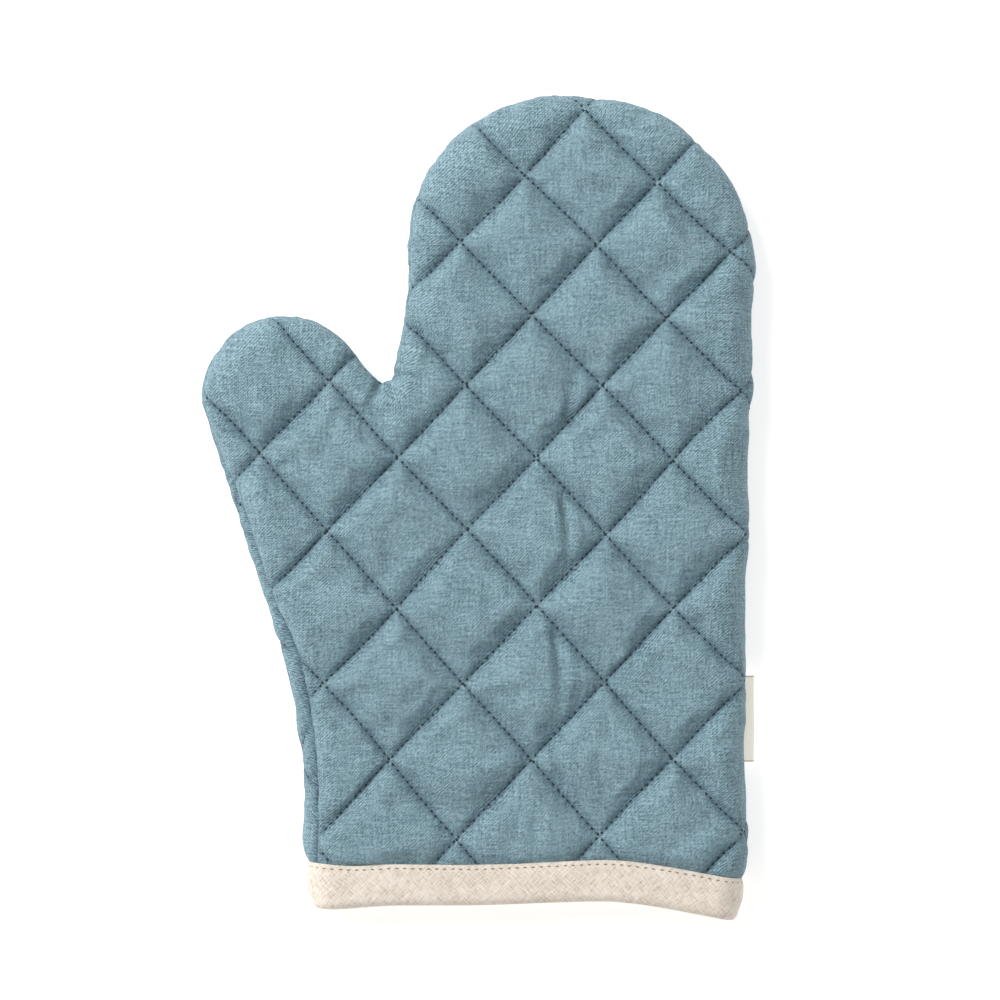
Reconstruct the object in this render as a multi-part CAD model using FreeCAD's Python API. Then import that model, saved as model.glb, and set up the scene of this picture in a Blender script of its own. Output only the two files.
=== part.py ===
import FreeCAD, Part
import math
import os

# Quilted oven mitt, lying flat on its back panel.
# Millimetres. +X to the right, with the thumb on the left, +Y towards the fingertips, +Z up.
# The origin is the bottom centre of the whole mitt, on the surface that it lies on.

V = FreeCAD.Vector

# --- driving dimensions -------------------------------------------------------------------

# plan of the mitt
TOP_Y = 158.9                 # highest point of the finger dome
SIDE_TOP_X = 107.4            # right side, carried up to TOP_Y
SIDE_CUFF_X = 101.2           # right side, at FLAP_Y
HAND_LEFT_X = -26.6           # left side of the finger part
WRIST_LEFT_X = -67.0          # left side at the wrist
THUMB_TOP_Y = 74.0            # top of the thumb
DOME_RIGHT_R = 68.0
DOME_LEFT_R = 60.0
THUMB_TIP_R = 31.5
THUMB_BACK_R = 24.0
CROTCH_R = 5.5
FLAP_Y = -185.0               # the outline runs on past the cuff, and is trimmed to it

# thickness
THICK = 28.0                  # whole mitt, lying empty
SEAM_Z = THICK / 2            # plane where the two panels are sewn together
EDGE_R = 12.0                 # roll of the outer edges
FACE_T = 1.2                  # face cloth
WADDING_T = 5.8               # wadding
LINING_T = 0.6                # lining cloth
WALL_T = FACE_T + WADDING_T + LINING_T

# cuff binding: a folded bias strip around the mouth
BINDING_H = 17.5              # from the cuff's edge up to the binding's top edge
BINDING_T = 0.6               # thickness of one side of the fold
CUFF_EDGE = ((-125.0, -152.6), (-60.0, -153.3), (10.0, -152.6), (55.0, -151.6), (103.0, -159.0),
             (125.0, -163.0))

# threads
THREAD_W = 0.6
THREAD_DEPTH = 0.5
TOPSTITCH_DROP = 1.8          # topstitch row, below the binding's top edge
TOPSTITCH_DEPTH = 0.3
SEAM_INSET = 2.4              # seam row, inside the outline
SEAM_THREAD_H = 3.0
OVERLOCK_W = 6.0              # sewn-together edges that stand into the hand space
OVERLOCK_H = 2.4

# diamond quilting: rows that rise and rows that fall to the right; row k crosses y = 0 at
# its first row's x plus k pitches, and the falling rows fan out a little
RISING_X = 3.5
RISING_PITCH = 54.0
RISING_ANGLE = 46.7
RISING_ROWS = range(-3, 6)
FALLING_X = 93.0
FALLING_PITCH = 52.9
FALLING_ANGLE = -45.9
FALLING_FAN = 0.85            # degrees that each falling row turns from the row before it
FALLING_ROWS = range(-6, 4)
BACK_QUILT_SHIFT = 20.0       # the back panel's rows lie this far to the right of the front's

# side label: a folded tape caught in the right-hand seam
LABEL_LOW_Y = -98.8
LABEL_HIGH_Y = -65.2
LABEL_OUT_X = 106.3
LABEL_TUCK = 9.0
LABEL_T = 1.0

BIG = 400.0                   # larger than the mitt, for trimming solids
FLAT_TOL = 1e-6               # an edge with less height than this is level


# --- plan outline -------------------------------------------------------------------------

def outline_corners():
    """Corners of the plan, clockwise from the cuff's left end, each with its rounding radius."""
    return (
        (WRIST_LEFT_X, FLAP_Y, 0.0),
        (WRIST_LEFT_X, -71.0, 200.0),
        (-119.4, THUMB_TOP_Y, THUMB_TIP_R),
        (-64.0, THUMB_TOP_Y, THUMB_BACK_R),
        (-34.0, 44.0, CROTCH_R),
        (HAND_LEFT_X, 84.0, 90.0),
        (HAND_LEFT_X, TOP_Y, DOME_LEFT_R),
        (SIDE_TOP_X, TOP_Y, DOME_RIGHT_R),
        (SIDE_CUFF_X, FLAP_Y, 0.0),
    )


def rounded_corner(before, corner, after, radius):
    """Start, middle and end of the arc that rounds one corner."""
    to_before = (before - corner).normalize()
    to_after = (after - corner).normalize()
    half = to_before.getAngle(to_after) / 2
    reach = radius / math.tan(half)
    bisector = (to_before + to_after).normalize()
    middle = corner + bisector * (radius / math.sin(half) - radius)
    return corner + to_before * reach, middle, corner + to_after * reach


def plan_wire():
    """Closed outline of straight runs and tangent arcs."""
    corners = outline_corners()
    points = [V(x, y, 0) for x, y, radius in corners]
    arcs = []
    for i, (x, y, radius) in enumerate(corners):
        if radius > 0:
            after = points[(i + 1) % len(points)]
            arcs.append(rounded_corner(points[i - 1], points[i], after, radius))
        else:
            arcs.append((points[i], None, points[i]))
    edges = []
    for i, (start, middle, end) in enumerate(arcs):
        edges.append(Part.LineSegment(arcs[i - 1][2], start).toShape())
        if middle is not None:
            edges.append(Part.Arc(start, middle, end).toShape())
    return Part.Wire(edges)


PLAN = Part.Face(plan_wire())


# --- nested envelopes ---------------------------------------------------------------------

def plan_prism(inset, z_low, z_high):
    """The plan, drawn in by inset, between two heights."""
    face = PLAN.makeOffset2D(-inset) if inset > 0 else PLAN
    solid = face.extrude(V(0, 0, z_high - z_low))
    solid.translate(V(0, 0, z_low))
    return solid


def envelope(inset):
    """The mitt's outer form with rolled edges, shrunk by inset on every side."""
    solid = plan_prism(inset, inset, THICK - inset)
    rims = [edge for edge in solid.Edges if edge.BoundBox.ZLength < FLAT_TOL]
    return solid.makeFillet(EDGE_R - inset, rims)


def shell(outer_inset, inner_inset):
    """The layer between two envelopes."""
    return envelope(outer_inset).cut(envelope(inner_inset))


def band(z_low, z_high):
    """Everything between two heights."""
    return Part.makeBox(2 * BIG, 2 * BIG, z_high - z_low, V(-BIG, -BIG, z_low))


FRONT = band(SEAM_Z, BIG)
BACK = band(-BIG, SEAM_Z)


# --- the cuff's edge ----------------------------------------------------------------------

def beyond_cuff(lift):
    """Everything below the cuff's curved edge, when that edge is raised by lift."""
    points = [V(x, y + lift, -BIG) for x, y in CUFF_EDGE]
    curve = Part.BSplineCurve()
    curve.interpolate(points)
    edge = curve.toShape()
    right = V(points[-1].x, -BIG, -BIG)
    left = V(points[0].x, -BIG, -BIG)
    rest = Part.makePolygon([points[-1], right, left, points[0]])
    face = Part.Face(Part.Wire([edge] + rest.Edges))
    return face.extrude(V(0, 0, 2 * BIG))


def cuff_band(low_lift, high_lift):
    """The stretch between two raised copies of the cuff's edge."""
    return beyond_cuff(high_lift).cut(beyond_cuff(low_lift))


BELOW_PANELS = beyond_cuff(BINDING_T)


# --- sub-parts ----------------------------------------------------------------------------

def row_slab(x, angle):
    """Thin upright slab along the stitch row that crosses y = 0 at x."""
    length = 2 * BIG
    slab = Part.makeBox(length, THREAD_W, BIG, V(-length / 2, -THREAD_W / 2, -BIG / 2))
    slab.rotate(V(0, 0, 0), V(0, 0, 1), angle)
    slab.translate(V(x, 0, 0))
    return slab


def quilt_slabs(shift):
    """Slabs along every stitch row of one panel, as one solid lattice."""
    rising = [row_slab(RISING_X + shift + k * RISING_PITCH, RISING_ANGLE)
              for k in RISING_ROWS]
    falling = [row_slab(FALLING_X + shift + k * FALLING_PITCH, FALLING_ANGLE + k * FALLING_FAN)
               for k in FALLING_ROWS]
    return rising[0].multiFuse(rising[1:] + falling)


def quilting_thread(side, shift):
    """Stitch lines of one panel, set flush into the face cloth, down to the binding."""
    skin = shell(0, THREAD_DEPTH).common(side)
    skin = skin.cut(beyond_cuff(BINDING_H + THREAD_W))
    skin = skin.cut(band(SEAM_Z - THREAD_W, SEAM_Z + THREAD_W))
    return skin.common(quilt_slabs(shift))


def perimeter_seam_thread():
    """Row of stitches that joins the two panels, inside the edge."""
    half = SEAM_THREAD_H / 2
    ring = plan_prism(SEAM_INSET, SEAM_Z - half, SEAM_Z + half)
    ring = ring.cut(plan_prism(SEAM_INSET + THREAD_W, -BIG, BIG))
    return ring.cut(BELOW_PANELS)


def inner_seam_overlock():
    """Trimmed and overlocked edges of both panels, standing into the hand space."""
    half = OVERLOCK_H / 2
    ring = plan_prism(WALL_T, SEAM_Z - half, SEAM_Z + half)
    ring = ring.cut(plan_prism(WALL_T + OVERLOCK_W, -BIG, BIG))
    return ring.cut(beyond_cuff(BINDING_H))


def cuff_binding():
    """Folded strip: outer side, inner side, and the fold that closes over the panels' edge."""
    strip = cuff_band(0, BINDING_H)
    outer = shell(0, BINDING_T).common(strip)
    inner = shell(WALL_T, WALL_T + BINDING_T).common(strip)
    fold = shell(0, WALL_T + BINDING_T).common(cuff_band(0, BINDING_T))
    return outer.fuse([inner, fold]).removeSplitter()


def binding_stitching():
    """Topstitch row around the binding, flush with its outer side."""
    height = BINDING_H - TOPSTITCH_DROP
    row = cuff_band(height - THREAD_W / 2, height + THREAD_W / 2)
    return shell(0, TOPSTITCH_DEPTH).common(row)


def side_label():
    """Folded tape that stands out of the right-hand seam."""
    return Part.makeBox(LABEL_TUCK, LABEL_HIGH_Y - LABEL_LOW_Y, LABEL_T,
                        V(LABEL_OUT_X - LABEL_TUCK, LABEL_LOW_Y, SEAM_Z - LABEL_T / 2))


# --- assembly -----------------------------------------------------------------------------

def build():
    """Every sub-part by name, trimmed so that none overlaps another."""
    parts = {}
    binding = cuff_binding()
    topstitch = binding_stitching()
    label = side_label()
    seam = perimeter_seam_thread().cut(label)
    parts["cuff_binding"] = binding.cut(topstitch)
    parts["binding_stitching"] = topstitch
    parts["perimeter_seam_thread"] = seam
    parts["inner_seam_overlock"] = inner_seam_overlock()
    parts["side_label"] = label

    face = shell(0, FACE_T).cut(BELOW_PANELS)
    wadding = shell(FACE_T, FACE_T + WADDING_T).cut(BELOW_PANELS)
    lining = shell(FACE_T + WADDING_T, WALL_T).cut(BELOW_PANELS)
    for name, side, shift in (("front", FRONT, 0.0), ("back", BACK, BACK_QUILT_SHIFT)):
        thread = quilting_thread(side, shift)
        parts[name + "_quilting_thread"] = thread
        parts[name + "_face_panel"] = face.common(side).cut([thread, binding, label])
        parts[name + "_wadding"] = wadding.common(side).cut([seam, label])
        parts[name + "_lining"] = lining.common(side)
    return parts


def write(parts):
    """One STEP per sub-part, with its solids and volume printed."""
    os.makedirs("parts", exist_ok=True)
    whole = FreeCAD.BoundBox()
    for name in sorted(parts):
        solids = parts[name].Solids
        shape = solids[0] if len(solids) == 1 else Part.makeCompound(solids)
        shape.exportStep("parts/" + name + ".step")
        whole.add(shape.optimalBoundingBox(False))
        print("%-24s solids %3d  volume %10.1f mm3  valid %s"
              % (name, len(solids), shape.Volume, shape.isValid()))
    print("box  x %.2f %.2f  y %.2f %.2f  z %.2f %.2f"
          % (whole.XMin, whole.XMax, whole.YMin, whole.YMax, whole.ZMin, whole.ZMax))


write(build())
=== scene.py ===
import math

import bmesh
import bpy
import numpy as np
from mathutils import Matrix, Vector, geometry
from mathutils.bvhtree import BVHTree
from mathutils.kdtree import KDTree


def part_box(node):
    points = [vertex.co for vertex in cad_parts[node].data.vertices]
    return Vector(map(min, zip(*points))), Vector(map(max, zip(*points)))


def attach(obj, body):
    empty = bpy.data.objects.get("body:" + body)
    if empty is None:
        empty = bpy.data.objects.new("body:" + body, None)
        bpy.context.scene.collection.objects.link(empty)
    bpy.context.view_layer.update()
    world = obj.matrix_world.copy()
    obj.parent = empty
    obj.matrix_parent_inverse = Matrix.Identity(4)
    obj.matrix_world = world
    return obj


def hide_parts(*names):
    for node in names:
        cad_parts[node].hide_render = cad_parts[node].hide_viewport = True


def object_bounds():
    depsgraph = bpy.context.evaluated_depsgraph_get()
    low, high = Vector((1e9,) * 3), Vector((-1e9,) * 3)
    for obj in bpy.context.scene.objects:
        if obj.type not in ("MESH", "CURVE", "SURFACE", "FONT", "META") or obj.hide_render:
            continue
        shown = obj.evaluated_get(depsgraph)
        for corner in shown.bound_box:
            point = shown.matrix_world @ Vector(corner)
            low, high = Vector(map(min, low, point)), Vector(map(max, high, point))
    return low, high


# Quilted oven mitt. Every length is in metres, in the frame of the CAD model: +X to the right
# with the thumb on the left, +Y towards the fingertips, +Z up, z = 0 on the table.

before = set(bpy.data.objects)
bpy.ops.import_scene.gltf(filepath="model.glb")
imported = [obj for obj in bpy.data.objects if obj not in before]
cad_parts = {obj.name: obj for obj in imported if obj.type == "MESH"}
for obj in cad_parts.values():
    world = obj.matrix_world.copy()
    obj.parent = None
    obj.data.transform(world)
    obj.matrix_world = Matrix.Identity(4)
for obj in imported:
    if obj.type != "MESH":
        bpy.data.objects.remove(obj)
cad_low, cad_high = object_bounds()

MM = 0.001

# --- what the CAD model gives ---

face_low, face_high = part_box("front_face_panel")
binding_low, binding_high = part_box("cuff_binding")
label_low, label_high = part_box("side_label")
TOP_Y = face_high.y
WRIST_LEFT_X = binding_low.x
CUFF_RIGHT_X = binding_high.x + 0.5 * MM
THUMB_LEFT_X = face_low.x
THICK = cad_high.z

# --- the mitt's body ---

MID_Z = 0.475 * THICK  # height of the seam where it runs level with the sides
HALF_H = 9.9 * MM  # from there to the stitched level, above and below
CUFF_HALF_H = 11.0 * MM  # the same, inside the binding
CUFF_DROP = 0.4 * MM  # the cuff's middle lies a little lower
SIDE_R = 10.4 * MM  # roll of the body's sides
PUFF = 4.3 * MM  # how far the padding lifts the face cloth above its stitches
BACK_PUFF = 4.2 * MM
SWELL_MAX = 2.2 * MM  # the simulation moves the face cloth no further than this
SINK_MAX = 0.7 * MM  # and lets it sink no further than this into its padding
PUFF_ROUND = 8.2 * MM  # how far from a row of stitches the cloth levels out
SIDE_INSET = 2.6 * MM  # stitched outline, inside the outline that the puffed cells reach
CUFF_INSET = 1.4 * MM
CUFF_BLEND = (30.0 * MM, 3.0 * MM)  # heights above the binding between which the body narrows
SIDE_TAPER = 2.6  # the sides fill out more slowly above the binding than the middle
RIM_PUFF = 0.82  # rows of stitches sink less where the panels roll round the side

LINING_GAP = 2.0 * MM  # the layers' thickness where the stitches hold them together
LINING_PUFF = 2.6 * MM
PAD_FLOOR = 2.2 * MM  # the padding keeps this far above the table, under the back cloth
CUFF_PADDING = 1.9 * MM  # more room between face cloth and lining, inside the binding
CLOTH_T = 0.6 * MM

# --- the binding ---

BINDING_H = 17.5 * MM
BINDING_T = 0.9 * MM
BINDING_WALL = 5.4 * MM  # what the folded strip wraps
BINDING_GAP = 0.9 * MM  # from the face cloth out to the middle of the strip

RING_STEP = 1.5 * MM  # mesh step round the cuff

# --- the overlocked edges and the label ---

LOOP_PITCH = 0.9 * MM
EDGE_WIDE = 2.9 * MM  # half the trimmed edges' width, towards the hand
EDGE_THICK = 1.0 * MM  # half their thickness
EDGE_INSET = 3.4 * MM  # from the face cloth's inside to their middle

LABEL_PAST = 0.9 * MM  # the tape stands out this much further than its CAD solid
LABEL_T = 0.35 * MM
LABEL_FOLD_R = 0.42 * MM
LABEL_CURL = 0.5 * MM
LABEL_DROOP = 0.9 * MM
LABEL_END = 0.6 * MM  # width of the dark line at each of its ends

# --- the rows of stitches ---

RISING_X = 3.5 * MM  # where the first rising row crosses y = 0
RISING_PITCH = 54.0 * MM
RISING_ANGLE = math.radians(46.7)
FALLING_X = 93.0 * MM
FALLING_PITCH = 52.9 * MM
FALLING_ANGLE = math.radians(-45.9)
FALLING_FAN = math.radians(0.85)  # each falling row turns by this from the row before it
RISING_ROWS = range(-3, 6)
FALLING_ROWS = range(-6, 4)
BACK_SHIFT = 20.0 * MM
RISING_GAP = RISING_PITCH * math.sin(RISING_ANGLE)
FALLING_GAP = -FALLING_PITCH * math.sin(FALLING_ANGLE)

STITCH_PITCH = 2.85 * MM
STITCH_L = 1.45 * MM
THREAD_R = 0.53 * MM
STITCH_PROUD = 0.12 * MM  # its middle stands this far out of the cloth
SIDE_SINK = 0.45 * MM  # less this, where the cloth turns down the sides
SEAM_CLEAR = 3.0 * MM  # the quilting stops this far short of the seam
SEAM_PITCH = 3.0 * MM
SEAM_STITCH_L = 2.1 * MM
SEAM_THREAD_R = 0.3 * MM
SEAM_SINK = 0.25 * MM  # the seam's stitches lie this deep in their valley
TOP_PITCH = 3.1 * MM
TOP_STITCH_L = 1.7 * MM
TOP_THREAD_R = 0.27 * MM
TOP_INSET = 1.5 * MM  # from the binding's upper edge down to its stitches

ROW_WANDER = 0.8 * MM  # the rows bow this far from straight
GROOVE_W = 1.1 * MM  # painted shade darkens the cloth this far to each side of a row

ON_LINE = 0.02 * MM  # a mesh point this near to a row is held by its stitches
ON_CREASE = 0.03 * MM  # and an edge this near is kept sharp
PATH_STEP = 0.5 * MM
FINE = 20  # mesh steps across one diamond, face cloth
COARSE = 10  # the same, hidden layers


# --- small helpers ---

def unit(v):
    """v, or each row of v, at length 1."""
    return v / np.linalg.norm(v, axis=-1, keepdims=True)


def smoothstep(low, high, x):
    """0 at low, 1 at high, with a level start and end."""
    t = np.clip((x - low) / (high - low), 0.0, 1.0)
    return t * t * (3.0 - 2.0 * t)


WAVES = 14  # cosines in one field of random bumps


def waves(x, y, size, seed):
    """Even random bumps about size across, mostly between -1 and 1."""
    rng = np.random.default_rng(seed)
    total = np.zeros(np.broadcast(x, y).shape)
    for _ in range(WAVES):
        turn = rng.uniform(0.0, 2.0 * math.pi)
        number = math.pi / size * rng.uniform(0.55, 1.45)
        phase = rng.uniform(0.0, 2.0 * math.pi)
        total += np.cos(number * (x * math.cos(turn) + y * math.sin(turn)) + phase)
    return total * 0.6 * math.sqrt(2.0 / WAVES)


def evenly(points, step):
    """An open path again, with points about step apart.

    The first three columns are the place, and any others are carried along."""
    steps = np.linalg.norm(np.diff(points[:, :3], axis=0), axis=1)
    along = np.concatenate([[0.0], np.cumsum(steps)])
    at = np.linspace(0.0, along[-1], max(2, int(round(along[-1] / step)) + 1))
    return np.stack([np.interp(at, along, points[:, k]) for k in range(points.shape[1])], axis=1)


# --- plan outline ---

def outline_corners():
    """The silhouette's corners, from the cuff's left end round to its right end: x, y, radius."""
    below = binding_low.y - 26.0 * MM
    top = TOP_Y + 0.8 * MM
    thumb_top = TOP_Y - 84.5 * MM
    hand_left = THUMB_LEFT_X + 79.2 * MM
    return (
        (WRIST_LEFT_X, below, 0.0),
        (WRIST_LEFT_X, TOP_Y - 237.4 * MM, 260.0 * MM),
        (THUMB_LEFT_X - 13.0 * MM, thumb_top, 30.5 * MM),
        (THUMB_LEFT_X + 47.0 * MM, thumb_top, 32.0 * MM),
        (THUMB_LEFT_X + 71.0 * MM, thumb_top - 30.4 * MM, 3.5 * MM),
        (hand_left, thumb_top + 10.0 * MM, 90.0 * MM),
        (hand_left, top, 57.0 * MM),
        (face_high.x + 1.2 * MM, top, 69.0 * MM),
        (face_high.x - 3.8 * MM, TOP_Y - 199.0 * MM, 500.0 * MM),
        (face_high.x - 3.8 * MM, TOP_Y - 271.0 * MM, 60.0 * MM),
        (CUFF_RIGHT_X, binding_high.y, 60.0 * MM),
        (CUFF_RIGHT_X, below, 0.0),
    )


def rounded_path(corners, step):
    """Straight runs and tangent arcs through the corners, with points step apart."""
    points = [np.array(c[:2]) for c in corners]
    path = [points[0]]
    for before, corner, after, (_, _, radius) in zip(points, points[1:], points[2:], corners[1:]):
        to_before = unit(before - corner)
        to_after = unit(after - corner)
        half = math.acos(float(np.clip(to_before @ to_after, -1.0, 1.0))) / 2.0
        middle = unit(to_before + to_after)
        centre = corner + middle * radius / math.sin(half)
        start = corner + to_before * radius / math.tan(half)
        sweep = math.pi - 2.0 * half
        side = math.copysign(1.0, to_before[0] * to_after[1] - to_before[1] * to_after[0])
        for t in np.linspace(0.0, -side * sweep, 2 + int(sweep * radius / step)):
            spoke = start - centre
            path.append(centre + np.array([
                spoke[0] * math.cos(t) - spoke[1] * math.sin(t),
                spoke[0] * math.sin(t) + spoke[1] * math.cos(t)]))
    path.append(points[-1])
    return evenly(np.array(path), step)


def cuff_edge(x):
    """The cuff's lower edge: level on the thumb's side, lifted, then sweeping down."""
    x = np.asarray(x, float)
    lift = 1.6 * MM * smoothstep(-10.0 * MM, 50.0 * MM, x)
    sweep = 9.2 * MM * smoothstep(46.0 * MM, 118.0 * MM, x)
    corner = 1.6 * MM * smoothstep(-30.0 * MM, -60.0 * MM, x)
    return binding_low.y + 5.7 * MM + lift - sweep - corner


def binding_top(x):
    """The binding's upper edge, which waves a little on its own."""
    ripple = 1.0 * MM * np.sin((np.asarray(x, float) + 30.0 * MM) / (24.0 * MM))
    left_rise = 1.6 * MM * smoothstep(-44.0 * MM, -66.0 * MM, x)
    return cuff_edge(x) + BINDING_H - 1.6 * MM - 0.35 * ripple + left_rise


SILHOUETTE = rounded_path(outline_corners(), PATH_STEP)
TANGENT = unit(np.gradient(SILHOUETTE, axis=0))
OUTWARD = np.stack([-TANGENT[:, 1], TANGENT[:, 0]], axis=1)


def narrowing(x, y):
    """0 on the quilted body, 1 inside the binding."""
    high, low = CUFF_BLEND
    return smoothstep(high, low, y - binding_top(x))


PATH_INSET = SIDE_INSET + (CUFF_INSET - SIDE_INSET) * narrowing(SILHOUETTE[:, 0], SILHOUETTE[:, 1])
BODY = SILHOUETTE - OUTWARD * PATH_INSET[:, None]


CROTCH = np.array([THUMB_LEFT_X + 70.0 * MM, TOP_Y - 108.0 * MM])
NEAR_CROTCH = smoothstep(34.0 * MM, 12.0 * MM, np.linalg.norm(BODY - CROTCH, axis=1))


TILT_TIPS = 4.0  # degrees up from level
TILT_LEFT = 5.0  # more on the thumb's side
TILT_WRIST = 19.0  # and more again down the wrist,
TILT_CUFF = 17.0  # and by the cuff
TILT_RIGHT = 40.0  # down on the right


def seam_tilt():
    """How far up round the side the seam sits: high on the thumb's side, low on the right."""
    facing = OUTWARD[:, 0]
    left = np.clip(-facing, 0.0, 1.0)
    right = np.clip(facing, 0.0, 1.0) * smoothstep(-10.0 * MM, 20.0 * MM, BODY[:, 0])
    wrist = smoothstep(34.0 * MM, -4.0 * MM, BODY[:, 1])
    low_wrist = smoothstep(-36.0 * MM, -62.0 * MM, BODY[:, 1])
    side = left * (TILT_LEFT + TILT_WRIST * wrist + TILT_CUFF * low_wrist) - TILT_RIGHT * right
    return np.radians(TILT_TIPS + side * (1.0 - NEAR_CROTCH))


TILT = seam_tilt()
ROLL_R = SIDE_R * (1.0 - 0.34 * NEAR_CROTCH)


def path_tree(points):
    tree = KDTree(len(points))
    for i, (x, y) in enumerate(points):
        tree.insert((x, y, 0.0), i)
    tree.balance()
    return tree


def distances(tree, x, y):
    return np.array([tree.find((a, b, 0.0))[2] for a, b in zip(x, y)])


BODY_TREE = path_tree(BODY)


def from_outline(x, y):
    """The body outline's nearest point's number, and how far inside the outline each point is."""
    i = np.array([BODY_TREE.find((a, b, 0.0))[1] for a, b in zip(x, y)], int)
    return i, -((x - BODY[i, 0]) * OUTWARD[i, 0] + (y - BODY[i, 1]) * OUTWARD[i, 1])


def levels(cuff):
    """The height of the body's middle, and from there to its stitched faces."""
    return MID_Z - CUFF_DROP * cuff, HALF_H + (CUFF_HALF_H - HALF_H) * cuff


def on_body(x, y, side):
    """Where points of a flat panel lie on the stitched body, and the way out from it there.

    side is 1 for the front panel and -1 for the back. A panel's rim lies past the plan's edge
    while it is flat, and rolls round the side."""
    i, inset = from_outline(x, y)
    out = OUTWARD[i]
    cuff = narrowing(x, y)
    free = ROW_WANDER * smoothstep(4.0 * MM, 22.0 * MM, inset) * (1.0 - cuff)
    wander_x = free * waves(x, y, 42.0 * MM, 21)
    wander_y = free * waves(x, y, 42.0 * MM, 22)
    roll = ROLL_R[i]
    turn = np.clip((roll - inset) / roll, 0.0, None)
    rolled = turn > 0.0
    moved = np.where(rolled, inset - roll * (1.0 - np.sin(turn)), 0.0)
    middle, half = levels(cuff)
    rise = np.where(rolled, np.cos(turn), 1.0)
    position = np.stack([
        x + out[:, 0] * moved + wander_x,
        y + out[:, 1] * moved + wander_y,
        middle + side * half * rise], axis=1)
    lean = np.where(rolled, np.sin(turn), 0.0)
    normal = unit(np.stack([out[:, 0] * lean, out[:, 1] * lean, side * rise * roll / half], axis=1))
    return position, normal


# --- the quilting's own coordinates ---

def row_crossing(a, b, shift):
    """The point where rising row a crosses falling row b; both may be fractions."""
    x1 = RISING_X + shift + a * RISING_PITCH
    x2 = FALLING_X + shift + b * FALLING_PITCH
    fall = FALLING_ANGLE + FALLING_FAN * b
    cross = math.cos(RISING_ANGLE) * np.sin(fall) - math.sin(RISING_ANGLE) * np.cos(fall)
    t = (x2 - x1) * np.sin(fall) / cross
    return x1 + t * math.cos(RISING_ANGLE), t * math.sin(RISING_ANGLE)


def rows_at(x, y, shift):
    """The fractional rising and falling row numbers at each point."""
    a = (x - y / math.tan(RISING_ANGLE) - RISING_X - shift) / RISING_PITCH
    b = np.zeros_like(x)
    for _ in range(5):
        b = (x - y / np.tan(FALLING_ANGLE + FALLING_FAN * b) - FALLING_X - shift) / FALLING_PITCH
    return a, b


def to_rows(x, y, shift):
    """Distances to the nearest rising row and the nearest falling row."""
    a, b = rows_at(x, y, shift)
    return np.abs(a - np.round(a)) * RISING_GAP, np.abs(b - np.round(b)) * FALLING_GAP


def swell(distance, reach):
    """Quarter-round rise of padded cloth away from a line that holds it down."""
    t = np.clip(distance / reach, 0.0, 1.0)
    return np.sqrt(np.maximum(1.0 - (1.0 - t) ** 2, 0.0))


def puff_at(x, y, to_seam, shift):
    """How full the padding is at a point of a panel, from 0 on a stitched line to 1."""
    rising, falling = to_rows(x, y, shift)
    above = np.clip(y - binding_top(x), 0.0, None)
    dome = 0.86 + 0.14 * np.clip(np.minimum(rising, falling) / (0.45 * RISING_GAP), 0.0, 1.0)
    full = swell(rising, PUFF_ROUND) * swell(falling, 1.1 * PUFF_ROUND) * dome
    i, inset = from_outline(x, y)
    rolled = smoothstep(0.8, -0.1, inset / ROLL_R[i])
    full += RIM_PUFF * rolled * (1.0 - full)
    taper = PUFF_ROUND * (0.9 + SIDE_TAPER * rolled)
    return full * swell(to_seam, 0.9 * PUFF_ROUND) * swell(above, taper)


def groove_shade_at(x, y, to_seam, shift):
    """How much painted shade the stitches put on the cloth, from 1 down in a groove or along the seam to
    0.

    Where two rows cross, the gathered cloth stands up and the painted shade leaves it pale."""
    rising, falling = to_rows(x, y, shift)
    grooves = np.abs(np.exp(-rising / GROOVE_W) - np.exp(-falling / GROOVE_W))
    return np.maximum(grooves, np.exp(-to_seam / GROOVE_W))


# --- flat panels ---

def panel_edge(side, step):
    """Closed outline of one flat panel: the seam's path unrolled, then the cuff's edge."""
    tilt = TILT * side
    unrolled = ROLL_R * (math.pi / 2.0 - tilt - 1.0)
    rim = BODY + OUTWARD * unrolled[:, None]
    hem = 4.5 * MM
    rim = rim[rim[:, 1] > cuff_edge(rim[:, 0]) + hem][::max(1, round(step / PATH_STEP))]
    x = np.linspace(rim[-1, 0], rim[0, 0], int(abs(rim[-1, 0] - rim[0, 0]) / step) + 1)[1:-1]
    bottom = np.stack([x, cuff_edge(x) + hem], axis=1)
    return np.concatenate([rim, bottom]), len(rim)


def inside(x, y, loop):
    """Which points are inside a closed loop."""
    result = np.zeros(len(x), bool)
    x1, y1 = loop[:, 0], loop[:, 1]
    x2, y2 = np.roll(x1, -1), np.roll(y1, -1)
    for ax, ay, bx, by in zip(x1, y1, x2, y2):
        spans = (ay > y) != (by > y)
        if not spans.any():
            continue
        crossing = ax + (y[spans] - ay) * (bx - ax) / (by - ay)
        hit = np.zeros(len(x), bool)
        hit[spans] = x[spans] < crossing
        result ^= hit
    return result


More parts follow.
